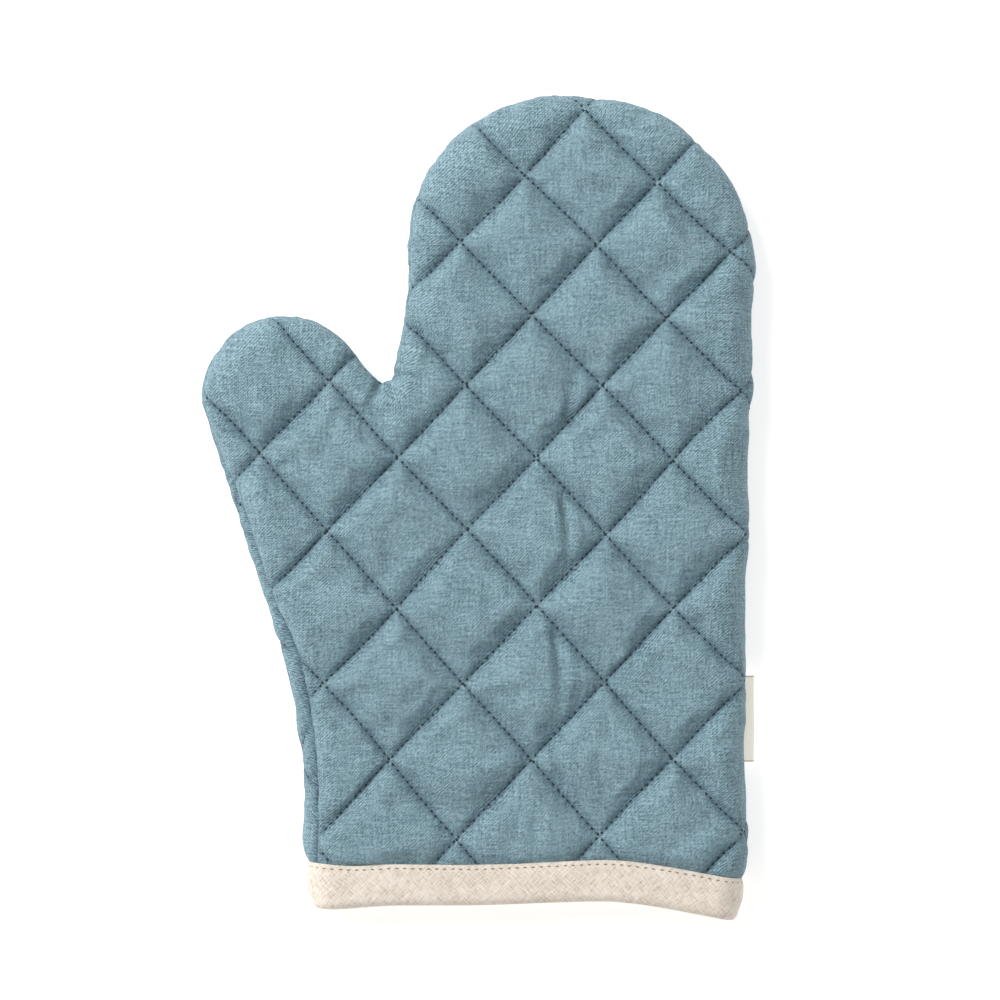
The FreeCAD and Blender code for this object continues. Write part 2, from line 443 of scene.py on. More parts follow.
class Panel:
    """A flat panel as a mesh whose edges run along its rows of stitches."""

    def __init__(self, side, shift, steps):
        self.side = side
        self.shift = shift
        step = RISING_GAP / steps
        loop, self.rim_count = panel_edge(side, step)
        k = np.arange(-6 * steps, 6 * steps + 1) / steps
        a, b = [g.ravel() for g in np.meshgrid(k, k - 1.0)]
        x, y = row_crossing(a, b, shift)
        near = inside(x, y, loop)
        x, y = x[near], y[near]
        tree = path_tree(loop)
        clear = distances(tree, x, y) > 0.55 * step
        points = np.concatenate([loop, np.stack([x[clear], y[clear]], axis=1)])
        count = len(loop)
        border = [(i, (i + 1) % count) for i in range(count)]
        made = geometry.delaunay_2d_cdt([Vector(p) for p in points], border, [], 1, 1e-7)
        self.x, self.y = np.array([tuple(v) for v in made[0]]).T
        self.faces = [tuple(f[::side]) for f in made[2]]
        self.position, self.normal = on_body(self.x, self.y, side)
        rim_tree = path_tree(loop[:self.rim_count])
        self.to_seam = distances(rim_tree, self.x, self.y)
        self.puff = puff_at(self.x, self.y, self.to_seam, shift)
        rising, falling = to_rows(self.x, self.y, shift)
        stitched = np.minimum(np.minimum(rising, falling), self.to_seam) < ON_LINE
        self.held = stitched | (self.y < binding_top(self.x) + 0.6 * MM)


# --- meshes ---

def new_object(name, verts, faces):
    mesh = bpy.data.meshes.new(name)
    mesh.from_pydata([tuple(v) for v in verts], [], faces)
    mesh.validate()
    mesh.shade_smooth()
    piece = bpy.data.objects.new(name, mesh)
    bpy.context.scene.collection.objects.link(piece)
    return piece


def grid_faces(rows, wide, close_rows=False, close_wide=False):
    """Quads between the neighbours of a grid, which may close on itself either way."""
    return [(i * wide + v, (i + 1) % rows * wide + v,
             (i + 1) % rows * wide + (v + 1) % wide, i * wide + (v + 1) % wide)
            for i in range(rows if close_rows else rows - 1)
            for v in range(wide if close_wide else wide - 1)]


def tube_faces(rings, sides):
    """Rings of points joined into a tube, with a cap at each end."""
    last = (rings - 1) * sides
    caps = [tuple(reversed(range(sides))), tuple(range(last, last + sides))]
    return [f[::-1] for f in grid_faces(rings, sides, close_wide=True)] + caps


def store(piece, name, values):
    """Keep one vector or number for each vertex, for the materials."""
    values = np.asarray(values, np.float32)
    kind = "FLOAT_VECTOR" if values.ndim == 2 else "FLOAT"
    layer = piece.data.attributes.new(name, kind, "POINT")
    layer.data.foreach_set("vector" if values.ndim == 2 else "value", values.ravel())


def store_flat(piece, along, across):
    """Keep each vertex's place on the cloth when it is flat, for the weave."""
    none = np.zeros(np.size(along))
    store(piece, "flat", np.stack([np.ravel(along), np.ravel(across), none], axis=1))


def read(items, key, wide=3):
    """One number or vector from each of a mesh's items, as rows."""
    values = np.zeros(len(items) * wide, np.float32)
    items.foreach_get(key, values)
    return values.reshape(-1, wide).astype(float)


def stored(piece, name):
    layer = piece.data.attributes[name]
    if layer.data_type == "FLOAT_VECTOR":
        return read(layer.data, "vector")
    return read(layer.data, "value", 1)[:, 0]


def coordinates(piece):
    return read(piece.data.vertices, "co")


def normals(piece):
    return read(piece.data.vertex_normals, "vector")


def set_coordinates(piece, co):
    piece.data.vertices.foreach_set("co", np.asarray(co, np.float32).ravel())
    piece.data.update()


def apply_modifiers(piece):
    """Freeze a piece's modifiers into its mesh."""
    evaluated = piece.evaluated_get(bpy.context.evaluated_depsgraph_get())
    mesh = bpy.data.meshes.new_from_object(evaluated)
    piece.modifiers.clear()
    piece.data = mesh
    mesh.shade_smooth()


def join_to_quads(piece):
    """Triangles of one diamond step become one quad."""
    bm = bmesh.new()
    bm.from_mesh(piece.data)
    bmesh.ops.join_triangles(bm, faces=bm.faces, angle_face_threshold=math.radians(60.0),
                             angle_shape_threshold=math.radians(50.0))
    bm.to_mesh(piece.data)
    bm.free()


# --- padded face cloth ---

CLOTH = {
    "quality": 6, "mass": 0.25, "tension_stiffness": 18.0, "compression_stiffness": 12.0,
    "shear_stiffness": 4.0, "bending_stiffness": 0.12, "tension_damping": 12.0,
    "compression_damping": 12.0, "air_damping": 4.0, "use_pressure": True,
    "uniform_pressure_force": 2.2, "shrink_min": -0.035, "vertex_group_mass": "held"}
CLOTH_FRAMES = 18


def inflate(piece, held):
    """Let the cloth swell between the points that are held."""
    group = piece.vertex_groups.new(name="held")
    group.add([int(i) for i in np.nonzero(held)[0]], 1.0, "REPLACE")
    cloth = piece.modifiers.new("cloth", "CLOTH")
    for key, value in CLOTH.items():
        setattr(cloth.settings, key, value)
    cloth.settings.effector_weights.gravity = 0.0
    cloth.collision_settings.use_collision = False
    cloth.collision_settings.use_self_collision = False
    cloth.point_cache.frame_start = 1
    cloth.point_cache.frame_end = CLOTH_FRAMES
    for step in range(1, CLOTH_FRAMES + 1):
        bpy.context.scene.frame_set(step)
    apply_modifiers(piece)
    bpy.context.scene.frame_set(1)
    piece.vertex_groups.clear()


ROW_CREASE = 0.85


def crease_rows(piece, panel):
    """Keep the rows of stitches sharp when the mesh is subdivided."""
    x, y = stored(piece, "flat")[:, :2].T
    rising, falling = to_rows(x, y, panel.shift)
    bm = bmesh.new()
    bm.from_mesh(piece.data)
    layer = bm.edges.layers.float.get("crease_edge") or bm.edges.layers.float.new("crease_edge")
    for edge in bm.edges:
        i, j = edge.verts[0].index, edge.verts[1].index
        if min(max(rising[i], rising[j]), max(falling[i], falling[j])) < ON_CREASE:
            edge[layer] = ROW_CREASE
    bm.to_mesh(piece.data)
    bm.free()


GATHERS = (
    # size along the row, squeeze away from it, depth, reach, bare strip by the row, seed
    (4.2 * MM, 0.22, 0.30 * MM, 5.0 * MM, 0.8 * MM, 0),
    (9.0 * MM, 0.30, 0.45 * MM, 11.0 * MM, 2.0 * MM, 20),
)


def pucker(x, y, shift):
    """Small gathers that the stitches draw up, running away from each row."""
    total = np.zeros_like(x)
    rising, falling = to_rows(x, y, shift)
    for distance, angle, seed in ((rising, RISING_ANGLE, 11), (falling, FALLING_ANGLE, 12)):
        along = x * math.cos(angle) + y * math.sin(angle)
        across = -x * math.sin(angle) + y * math.cos(angle)
        for size, squeeze, depth, reach, bare, extra in GATHERS:
            near = np.exp(-distance / reach) * (1.0 - np.exp(-distance / bare))
            total += depth * near * waves(along, across * squeeze, size, seed + extra)
    return total


def creases(x, y):
    """Soft folds that the mitt keeps from being packed flat, and the gathers at its crotch.

    Each goes from one point to another, with its depth and half its width."""
    folds = (
        (36.0, 50.0, 34.5, 32.0, 1.2, 2.4),
        (32.6, 8.0, 34.0, -20.0, 1.8, 2.2),
        (29.6, -40.0, 31.8, -77.0, 1.6, 2.4),
        (29.0, -88.0, 32.6, -111.0, 1.5, 2.6),
        (21.2, -116.0, 22.2, -134.0, 1.1, 2.8),
        (3.0, -29.0, 4.6, -45.0, 0.8, 2.8),
        (-38.6, 52.0, -41.4, 38.0, 1.5, 2.4),
        (-41.4, 38.0, -35.5, 26.5, 1.2, 2.2),
        (-35.0, 51.0, -20.0, 49.0, 1.0, 2.2),
        (-11.5, 62.0, -9.5, 55.0, 0.5, 2.0),
    )
    total = np.zeros_like(x)
    for x1, y1, x2, y2, depth, width in folds:
        start = np.array([x1, y1]) * MM
        run = np.array([x2, y2]) * MM - start
        length = float(np.linalg.norm(run))
        run /= length
        along = ((x - start[0]) * run[0] + (y - start[1]) * run[1]) / length
        across = ((x - start[0]) * run[1] - (y - start[1]) * run[0]) / (width * MM)
        ends = smoothstep(-0.15, 0.3, along) * smoothstep(1.15, 0.7, along)
        valley = -np.exp(-across ** 2) + 0.45 * np.exp(-(np.abs(across) - 1.7) ** 2)
        total += depth * MM * ends * valley
    return total


def rest_on_table(z, soft):
    """Press what would hang below the table flat on to it."""
    floor = 0.25 * MM
    return floor + soft * np.logaddexp(0.0, (z - floor) / soft)


def face_cloth(name, panel, puff, seed):
    """One puffed, quilted face panel."""
    fullness = 1.0 + 0.10 * waves(panel.x, panel.y, 34.0 * MM, seed)
    start = panel.position + panel.normal * (puff * panel.puff * fullness)[:, None]
    if panel.side < 0:
        start[:, 2] = rest_on_table(start[:, 2], 0.25 * MM)
    piece = new_object(name, start, panel.faces)
    store_flat(piece, panel.x, panel.y)
    store(piece, "full", panel.puff)
    store(piece, "to_seam", panel.to_seam)
    join_to_quads(piece)
    inflate(piece, panel.held)
    moved = coordinates(piece) - start
    far = np.linalg.norm(moved, axis=1, keepdims=True)
    moved *= np.minimum(1.0, SWELL_MAX / np.maximum(far, 1e-9))
    outward = (moved * panel.normal).sum(axis=1)
    lift = np.maximum(outward, -SINK_MAX * panel.puff) - outward
    set_coordinates(piece, start + moved + panel.normal * lift[:, None])
    crease_rows(piece, panel)
    smooth = piece.modifiers.new("smooth", "SUBSURF")
    smooth.levels = smooth.render_levels = 1
    apply_modifiers(piece)
    x, y = stored(piece, "flat")[:, :2].T
    full = stored(piece, "full")
    # painted shade for the material: darker down the rows of stitches and along the seam
    store(piece, "groove_shade", groove_shade_at(x, y, stored(piece, "to_seam"), panel.shift))
    lift = pucker(x, y, panel.shift)
    if panel.side > 0:
        lift += creases(x, y)
    lift *= np.clip(full * 2.0, 0.0, 1.0)
    co = coordinates(piece) + normals(piece) * lift[:, None]
    co[:, 2] = np.maximum(co[:, 2], 0.05 * MM)
    set_coordinates(piece, co)
    return piece


# --- hidden layers ---

def lining_offset(panel):
    """How far the lining lies inside the face cloth."""
    in_binding = narrowing(panel.x, panel.y)
    return -(LINING_GAP + LINING_PUFF * panel.puff + CUFF_PADDING * in_binding)


def lining(name, panel):
    """Lining of one panel, puffed towards the hand."""
    ripple = 0.25 * MM * waves(panel.x, panel.y, 9.0 * MM, 31)
    offset = lining_offset(panel) + ripple * panel.puff
    piece = new_object(name, panel.position + panel.normal * offset[:, None], panel.faces)
    store_flat(piece, panel.x, panel.y)
    # painted shade for the material: darker down the rows of stitches and along the seam
    store(piece, "groove_shade", groove_shade_at(panel.x, panel.y, panel.to_seam, panel.shift))
    return piece


def wadding(name, panel, puff):
    """The padding between face cloth and lining, as one closed body."""
    top = 0.55 * puff * panel.puff - 1.5 * CLOTH_T
    if panel.side > 0:
        top = top + np.minimum(creases(panel.x, panel.y), 0.0)
    bottom = np.minimum(lining_offset(panel) + 0.5 * MM, top - 0.5 * MM)
    upper = panel.position + panel.normal * top[:, None]
    lower = panel.position + panel.normal * bottom[:, None]
    upper[:, 2] = np.maximum(upper[:, 2], PAD_FLOOR)
    count = len(panel.x)
    faces = list(panel.faces) + [tuple(i + count for i in reversed(f)) for f in panel.faces]
    used = {}
    for f in panel.faces:
        for i, j in zip(f, f[1:] + f[:1]):
            used[(i, j)] = True
    for i, j in used:
        if (j, i) not in used:
            faces.append((j, i, i + count, j + count))
    piece = new_object(name, np.concatenate([upper, lower]), faces)
    store_flat(piece, np.tile(panel.x, 2), np.tile(panel.y, 2))
    return piece


# --- threads ---

def spindles(name, centres, along, up, length, radius):
    """Many short stitches as one piece: each is a thread that dips into the cloth at its ends."""
    rings = 7
    sides = 7
    t = np.linspace(-1.0, 1.0, rings)
    thick = radius * np.sqrt(np.clip(1.0 - np.abs(t) ** 3.2, 0.02, 1.0))
    sink = -1.5 * radius * t ** 4
    angle = np.arange(sides) * 2.0 * math.pi / sides
    along = unit(along)
    across = unit(np.cross(up, along))
    up = np.cross(along, across)
    half = np.broadcast_to(np.asarray(length) / 2.0, (len(centres),))
    verts = (centres[:, None, None, :]
             + along[:, None, None, :] * (half[:, None] * t[None, :])[:, :, None, None]
             + across[:, None, None, :] * (thick[:, None] * np.cos(angle))[None, :, :, None]
             + up[:, None, None, :]
             * (sink[:, None] + thick[:, None] * np.sin(angle))[None, :, :, None])
    tube = tube_faces(rings, sides)
    block = rings * sides
    faces = [tuple(base + k for k in f)
             for base in range(0, len(centres) * block, block) for f in tube]
    piece = new_object(name, verts.reshape(-1, 3), faces)
    run = np.broadcast_to((half[:, None] * t[None, :])[:, :, None], verts.shape[:3])
    round_it = np.broadcast_to(angle[None, None, :], verts.shape[:3])
    store_flat(piece, run, round_it * radius)
    return piece


def row_points(panel):
    """Where each stitch of a panel's quilting is, and which way it runs."""
    loop, rim_count = panel_edge(panel.side, 2.0 * MM)
    tree = path_tree(loop[:rim_count])
    rng = np.random.default_rng(5)
    found = []
    reach = 420.0 * MM
    for rows, first, pitch, angle, fan in (
            (RISING_ROWS, RISING_X, RISING_PITCH, RISING_ANGLE, 0.0),
            (FALLING_ROWS, FALLING_X, FALLING_PITCH, FALLING_ANGLE, FALLING_FAN)):
        for k in rows:
            turn = angle + fan * k
            t = np.arange(-reach, reach, STITCH_PITCH) + rng.uniform(0.0, STITCH_PITCH)
            t += rng.uniform(-0.12, 0.12, len(t)) * STITCH_PITCH
            off = rng.normal(0.0, 0.12 * MM, len(t))
            x = first + panel.shift + k * pitch + t * math.cos(turn) - off * math.sin(turn)
            y = t * math.sin(turn) + off * math.cos(turn)
            keep = inside(x, y, loop) & (y > binding_top(x) + 0.8 * MM)
            x, y = x[keep], y[keep]
            clear = distances(tree, x, y) > SEAM_CLEAR
            found.append(np.stack([x[clear], y[clear], np.full(clear.sum(), turn)], axis=1))
    return np.concatenate(found)


def on_cloth(cloth, points):
    """The nearest places on a piece's surface, and the way out from it there."""
    tree = BVHTree.FromPolygons(
        [v.co for v in cloth.data.vertices], [p.vertices[:] for p in cloth.data.polygons])
    found = [tree.find_nearest(Vector(p)) for p in points]
    return np.array([f[0] for f in found]), np.array([f[1] for f in found])


def quilting(name, panel, cloth):
    """The rows of stitches that hold one panel's layers together."""
    x, y, turn = row_points(panel).T
    step = 0.5 * MM
    centre, up = on_body(x, y, panel.side)
    ahead, _ = on_body(x + step * np.cos(turn), y + step * np.sin(turn), panel.side)
    along = ahead - centre
    rng = np.random.default_rng(6)
    length = STITCH_L * rng.uniform(0.8, 1.15, len(x))
    centre, _ = on_cloth(cloth, centre)
    proud = STITCH_PROUD - SIDE_SINK * (1.0 - np.abs(up[:, 2]))
    centre = centre + up * proud[:, None]
    centre[:, 2] = np.maximum(centre[:, 2], 2.0 * THREAD_R)
    return spindles(name, centre, along, up, length, THREAD_R)


def seam_points():
    """The seam's path round the mitt, and the way out from it."""
    turn = math.pi / 2.0 - TILT
    across = ROLL_R * (1.0 - np.sin(turn))
    place = BODY - OUTWARD * across[:, None]
    middle, half = levels(narrowing(BODY[:, 0], BODY[:, 1]))
    z = middle + half * np.cos(turn)
    out = np.stack([OUTWARD[:, 0] * np.sin(turn), OUTWARD[:, 1] * np.sin(turn), np.cos(turn)], 1)
    keep = BODY[:, 1] > binding_top(BODY[:, 0]) - 4.0 * MM
    return np.concatenate([place, z[:, None]], axis=1)[keep], unit(out)[keep]


def seam_thread(name):
    """The row that joins the two panels, down in the valley between them."""
    path, out = seam_points()
    both = evenly(np.concatenate([path, out], axis=1), SEAM_PITCH)
    centre, up = both[:, :3], unit(both[:, 3:])
    along = np.gradient(centre, axis=0)
    return spindles(name, centre - up * SEAM_SINK, along, up, SEAM_STITCH_L, SEAM_THREAD_R)


def overlock(name):
    """Trimmed edges inside the seam, wrapped by overlock loops."""
    path, out = seam_points()
    both = evenly(np.concatenate([path, out], axis=1), LOOP_PITCH)
    centre, out = both[:, :3], unit(both[:, 3:])
    flat_out = unit(out * np.array([1.0, 1.0, 0.0]))
    along = unit(np.gradient(centre, axis=0))
    up = unit(np.cross(flat_out, along))
    sides = 10
    angle = np.arange(sides) * 2.0 * math.pi / sides
    phase = np.arange(len(centre))[:, None] * math.pi / 1.5
    bulge = 1.0 + 0.10 * np.sin(phase + angle[None, :])
    middle = centre - flat_out * (LINING_GAP + EDGE_INSET)
    ring = (middle[:, None, :]
            + flat_out[:, None, :] * (EDGE_WIDE * bulge * np.cos(angle))[:, :, None]
            + up[:, None, :] * (EDGE_THICK * bulge * np.sin(angle))[:, :, None])
    count = len(centre)
    piece = new_object(name, ring.reshape(-1, 3), tube_faces(count, sides))
    run = np.repeat(np.arange(count) * LOOP_PITCH, sides)
    store_flat(piece, run, np.tile(angle * (EDGE_WIDE + EDGE_THICK) / 2.0, count))
    return piece


# --- cuff ---

def cuff_ring(step):
    """Closed cross-section of the cuff: x, z, the way out, and the length run, at even steps."""
    left = WRIST_LEFT_X + CUFF_INSET - BINDING_GAP
    right = CUFF_RIGHT_X - CUFF_INSET + BINDING_GAP
    z = MID_Z - CUFF_DROP
    half = CUFF_HALF_H + BINDING_GAP
    turn = np.linspace(0.0, math.pi, 40)
    join = np.array([[(left + right) / 2.0, z - half]])
    left_side = np.stack([left + SIDE_R - SIDE_R * np.sin(turn), z - half * np.cos(turn)], 1)
    right_side = np.stack([right - SIDE_R + SIDE_R * np.sin(turn), z + half * np.cos(turn)], 1)
    path = evenly(np.concatenate([join, left_side, right_side, join]), step)[:-1]
    tangent = unit(np.roll(path, -1, axis=0) - np.roll(path, 1, axis=0))
    return path, np.stack([-tangent[:, 1], tangent[:, 0]], axis=1)


def strip_profile():
    """The folded strip seen end on: how far out from the cuff's wall, and how far along it.

    The height runs from 0 at the fold to 1 at the upper edges; the fold is a half round."""
    outer = BINDING_T / 2.0
    inner = -BINDING_WALL - BINDING_T / 2.0
    radius = (outer - inner) / 2.0
    middle = (outer + inner) / 2.0
    rise = np.linspace(1.0, 0.0, 12)[:-1]
    turn = np.linspace(0.0, math.pi, 11)
    out = np.concatenate([
        np.full(len(rise), outer), middle + radius * np.cos(turn), np.full(len(rise), inner)])
    height = np.concatenate([rise, np.zeros(len(turn)), rise[::-1] * 0.94])
    dip = np.concatenate([np.zeros(len(rise)), radius * np.sin(turn), np.zeros(len(rise))])
    return out, height, dip, radius


def binding(name):
    """Bias strip folded over the mouth of the cuff."""
    path, way_out = cuff_ring(RING_STEP)
    out, height, dip, radius = strip_profile()
    x = path[:, 0][:, None]
    low = cuff_edge(x) + radius
    high = binding_top(x)
    y = low + (high - low) * height[None, :] - dip[None, :]
    count, wide = y.shape
    run = np.arange(count)[:, None] * RING_STEP * np.ones((1, wide))
    across = np.cumsum(np.concatenate([[0.0], np.hypot(np.diff(out), np.diff(y[0]))]))
    across = np.ones((count, 1)) * across[None, :]
    around = 2.0 * math.pi * np.arange(count)[:, None] / count
    ring_r = count * RING_STEP / (2.0 * math.pi)
    ring_x, ring_y = ring_r * np.cos(around), ring_r * np.sin(around)
    ripple = 0.30 * MM * waves(ring_x + across, ring_y + across * 0.6, 11.0 * MM, 41)
    ripple += 0.16 * MM * waves(ring_x * 2.6, ring_y * 2.6 + across, 7.0 * MM, 42)
    lift = out[None, :] + ripple * np.clip(height[None, :] * 3.0 + 0.2, 0.0, 1.0)
    outside = out > -BINDING_WALL / 2.0
    hugging = smoothstep(0.72, 1.0, height)
    lift = lift - hugging * np.where(outside, 0.45 * MM, -0.6 * MM)
    bottom_in = 2.2 * MM * (1.0 - height) ** 3
    side = np.abs(way_out[:, 0])[:, None] ** 2
    lift = lift - side * bottom_in[None, :] * outside[None, :]
    px = path[:, 0][:, None] + way_out[:, 0][:, None] * lift
    pz = path[:, 1][:, None] + way_out[:, 1][:, None] * lift
    pz = np.maximum(pz, 0.5 * MM)
    verts = np.stack([px, y, pz], axis=2).reshape(-1, 3)
    piece = new_object(name, verts, grid_faces(count, wide, close_rows=True))
    store_flat(piece, run, across)
    thick = piece.modifiers.new("thickness", "SOLIDIFY")
    thick.thickness = BINDING_T
    thick.offset = 0.0
    smooth = piece.modifiers.new("smooth", "SUBSURF")
    smooth.levels = smooth.render_levels = 1
    apply_modifiers(piece)
    return piece


def topstitch(name, cloth):
    """The row of stitches just under the binding's upper edge."""
    path, way_out = cuff_ring(TOP_PITCH)
    up = np.stack([way_out[:, 0], np.zeros(len(path)), way_out[:, 1]], axis=1)
    above = np.stack([path[:, 0], binding_top(path[:, 0]) - TOP_INSET, path[:, 1]], axis=1)
    centre, _ = on_cloth(cloth, above + up * 2.0 * BINDING_T)
    proud = 0.05 * MM - 0.20 * MM * np.abs(up[:, 0])
    centre = centre + up * proud[:, None]
    centre[:, 2] = np.maximum(centre[:, 2], 0.3 * MM)
    along = np.roll(centre, -1, axis=0) - np.roll(centre, 1, axis=0)
    return spindles(name, centre, along, up, TOP_STITCH_L, TOP_THREAD_R)


# --- label ---

def label(name):
    """Plain tape, folded double, caught in the right-hand seam."""
    seam, _ = seam_points()
    middle = (label_low.y + label_high.y) / 2.0
    right = seam[:, 0] > 0.0
    here = seam[right][np.argmin(np.abs(seam[right][:, 1] - middle))]
    start_x = here[0] - 1.0 * MM
    reach = label_high.x + LABEL_PAST - start_x
    gap = LABEL_FOLD_R
    bend = np.linspace(0.0, math.pi, 9)[1:-1]
    flat_run = np.linspace(0.0, reach - gap, 10)
    out = np.concatenate([flat_run, reach - gap + gap * np.sin(bend), flat_run[::-1]])
    up = np.concatenate([np.full(10, gap), gap * np.cos(bend), np.full(10, -gap)])
    rows = 36
    y = np.linspace(label_low.y, label_high.y, rows)
    curl = LABEL_CURL * np.sin((y - middle) / (label_high.y - label_low.y) * 3.0)
    wide = len(out)
    px = start_x + out[None, :] + 0.15 * MM * np.sin(y / (5.0 * MM))[:, None]
    droop = -LABEL_DROOP * (out / reach) ** 2
    pz = here[2] + up[None, :] + droop[None, :] + (curl[:, None] * (out / reach)[None, :])
    py = y[:, None] + 0.0 * px
    verts = np.stack([px, py, pz], axis=2).reshape(-1, 3)
    piece = new_object(name, verts, [f[::-1] for f in grid_faces(rows, wide)])
    run = np.cumsum(np.concatenate([[0.0], np.hypot(np.diff(out), np.diff(up))]))
    store_flat(piece, np.ones((rows, 1)) * run, py)
    thick = piece.modifiers.new("thickness", "SOLIDIFY")
    thick.thickness = LABEL_T
    thick.offset = 0.0
    apply_modifiers(piece)
    return piece


# --- materials ---

class Nodes:
    """Short names for making a material's nodes."""

    def __init__(self, name):
        self.material = bpy.data.materials.new(name)
        self.material.use_nodes = True
        self.tree = self.material.node_tree
        self.shader = self.tree.nodes["Principled BSDF"]

    def make(self, kind, **settings):
        node = self.tree.nodes.new(kind)
        for key, value in settings.items():
            setattr(node, key, value)
        return node

    def link(self, source, target):
        self.tree.links.new(source, target)

    def attribute(self, name):
        node = self.make("ShaderNodeAttribute", attribute_name=name)
        return node.outputs["Fac"] if name == "groove_shade" else node.outputs["Vector"]

    def fill(self, socket, value):
        """Give a socket a number, a colour, or another node's output."""
        if isinstance(value, (int, float)):
            socket.default_value = value
        elif isinstance(value, tuple):
            socket.default_value = (*value, 1.0)
        else:
            self.link(value, socket)

    def shade(self, name, value):
        self.fill(self.shader.inputs[name], value)

    def math(self, operation, a, b=0.0):
        node = self.make("ShaderNodeMath", operation=operation)
        self.fill(node.inputs[0], a)
        self.fill(node.inputs[1], b)
        return node.outputs[0]

    def scaled(self, value, factor, plus):
        return self.math("ADD", self.math("MULTIPLY", value, factor), plus)

    def mapped(self, vector, scale, turn=0.0):
        node = self.make("ShaderNodeMapping")
        node.inputs["Scale"].default_value = scale
        node.inputs["Rotation"].default_value = (0.0, 0.0, turn)
        self.link(vector, node.inputs["Vector"])
        return node.outputs[0]

    def turned(self, vector, degrees):
        return self.mapped(vector, (1.0, 1.0, 1.0), math.radians(degrees))

    def noise(self, vector, scale, detail=2.0, roughness=0.5):
        node = self.make("ShaderNodeTexNoise")
        node.inputs["Scale"].default_value = scale
        node.inputs["Detail"].default_value = detail
        node.inputs["Roughness"].default_value = roughness
        self.link(vector, node.inputs["Vector"])
        return node.outputs["Fac"]

    def ramp(self, value, stops):
        node = self.make("ShaderNodeValToRGB")
        elements = node.color_ramp.elements
        for i, (at, colour) in enumerate(stops):
            element = elements[i] if i < 2 else elements.new(at)
            element.position = at
            element.color = (*colour, 1.0)
        self.link(value, node.inputs[0])
        return node.outputs[0]

    def mix(self, factor, a, b, blend="MIX"):
        node = self.make("ShaderNodeMix", data_type="RGBA", blend_type=blend)
        for i, value in ((0, factor), (6, a), (7, b)):
            self.fill(node.inputs[i], value)
        return node.outputs[2]

    def bump(self, height, strength, distance):
        node = self.make("ShaderNodeBump")
        node.inputs["Strength"].default_value = strength
        node.inputs["Distance"].default_value = distance
        self.link(height, node.inputs["Height"])
        return node.outputs[0]


def second(n, vector):
    """A vector's second number."""
    split = n.make("ShaderNodeSeparateXYZ")
    n.link(vector, split.inputs[0])
    return split.outputs[1]


def rib(n, vector, pitch):
    """Even ridges along the vector's first direction, from -1 to 1."""
    return n.math("SINE", n.math("MULTIPLY", second(n, vector), 2.0 * math.pi / pitch))


def yarns(n, flat, width, length, detail=2.0):
    """Streaks of uneven yarn: length along the cloth's x, width across it."""
    return n.noise(n.mapped(flat, (1.0 / length, 1.0 / width, 1.0)), 1.0, detail, 0.6)


def weighted(n, *pairs):
    """Sum of (value - 0.5) times weight, about 0.5."""
    total = 0.5 - 0.5 * sum(weight for _, weight in pairs)
    for value, weight in pairs:
        total = n.scaled(value, weight, total)
    return total


def paint_groove_shade(n, colour):
    """Painted shade: cloth is darker down in the stitched grooves and along the seam."""
    groove = n.ramp(n.attribute("groove_shade"), ((0.0, (1.0, 1.0, 1.0)), (1.0, (0.52, 0.56, 0.60))))
    return n.mix(1.0, colour, groove, "MULTIPLY")


def linen_finish(n, colour, height):
    n.shade("Base Color", colour)
    n.shade("Roughness", 0.92)
    n.shade("Specular IOR Level", 0.2)
    n.shade("Sheen Weight", 0.10)
    n.shade("Sheen Roughness", 0.45)
    n.shade("Normal", n.bump(height, 0.7, 0.22 * MM))
    return n.material


TWILL_PITCH = 0.80 * MM
YARN_PITCH = 0.47 * MM
YARN_W = 0.42 * MM
WEFT_L = 10.0 * MM  # how far a yarn keeps its colour
WARP_L = 13.0 * MM


def twill_linen(name, dark, middle, pale):
    """Washed linen twill: broken diagonal ribs, uneven yarns both ways, and pale slubs."""
    n = Nodes(name)
    flat = n.attribute("flat")
    wander = n.noise(flat, 160.0, 3.0)
    drift = n.make("ShaderNodeVectorMath", operation="ADD")
    n.link(flat, drift.inputs[0])
    n.link(n.mapped(wander, (2.4 * MM, 0.0, 0.0)), drift.inputs[1])
    ridge = rib(n, n.turned(drift.outputs[0], -45.0), TWILL_PITCH)
    yarn = rib(n, drift.outputs[0], YARN_PITCH)
    floats = n.math("MULTIPLY", ridge, n.scaled(yarn, 0.35, 0.65))
    ridge = n.scaled(floats, 0.5, 0.5)
    flecks = yarns(n, n.turned(flat, -45.0), 0.48 * MM, 1.4 * MM)
    weft = yarns(n, flat, YARN_W, WEFT_L)
    warp = yarns(n, n.turned(flat, 90.0), YARN_W, WARP_L)
    speck = n.noise(flat, 1500.0, 1.0)
    cloud = n.noise(flat, 70.0, 3.0, 0.55)
    tone = weighted(n, (ridge, 0.44), (flecks, 1.45), (speck, 0.62), (weft, 0.85), (warp, 0.72),
                    (cloud, 0.28))
    colour = n.ramp(tone, ((0.14, dark), (0.86, pale), (0.5, middle)))
    slub = yarns(n, flat, 0.9 * MM, 9.0 * MM, 1.0)
    slub = n.ramp(slub, ((0.69, (0.0, 0.0, 0.0)), (0.76, (1.0, 1.0, 1.0))))
    colour = n.mix(n.math("MULTIPLY", slub, 0.45), colour, pale)
    # painted shade down the stitched grooves
    colour = paint_groove_shade(n, colour)
    return linen_finish(n, colour, weighted(n, (ridge, 0.70), (weft, 0.50), (warp, 0.40)))


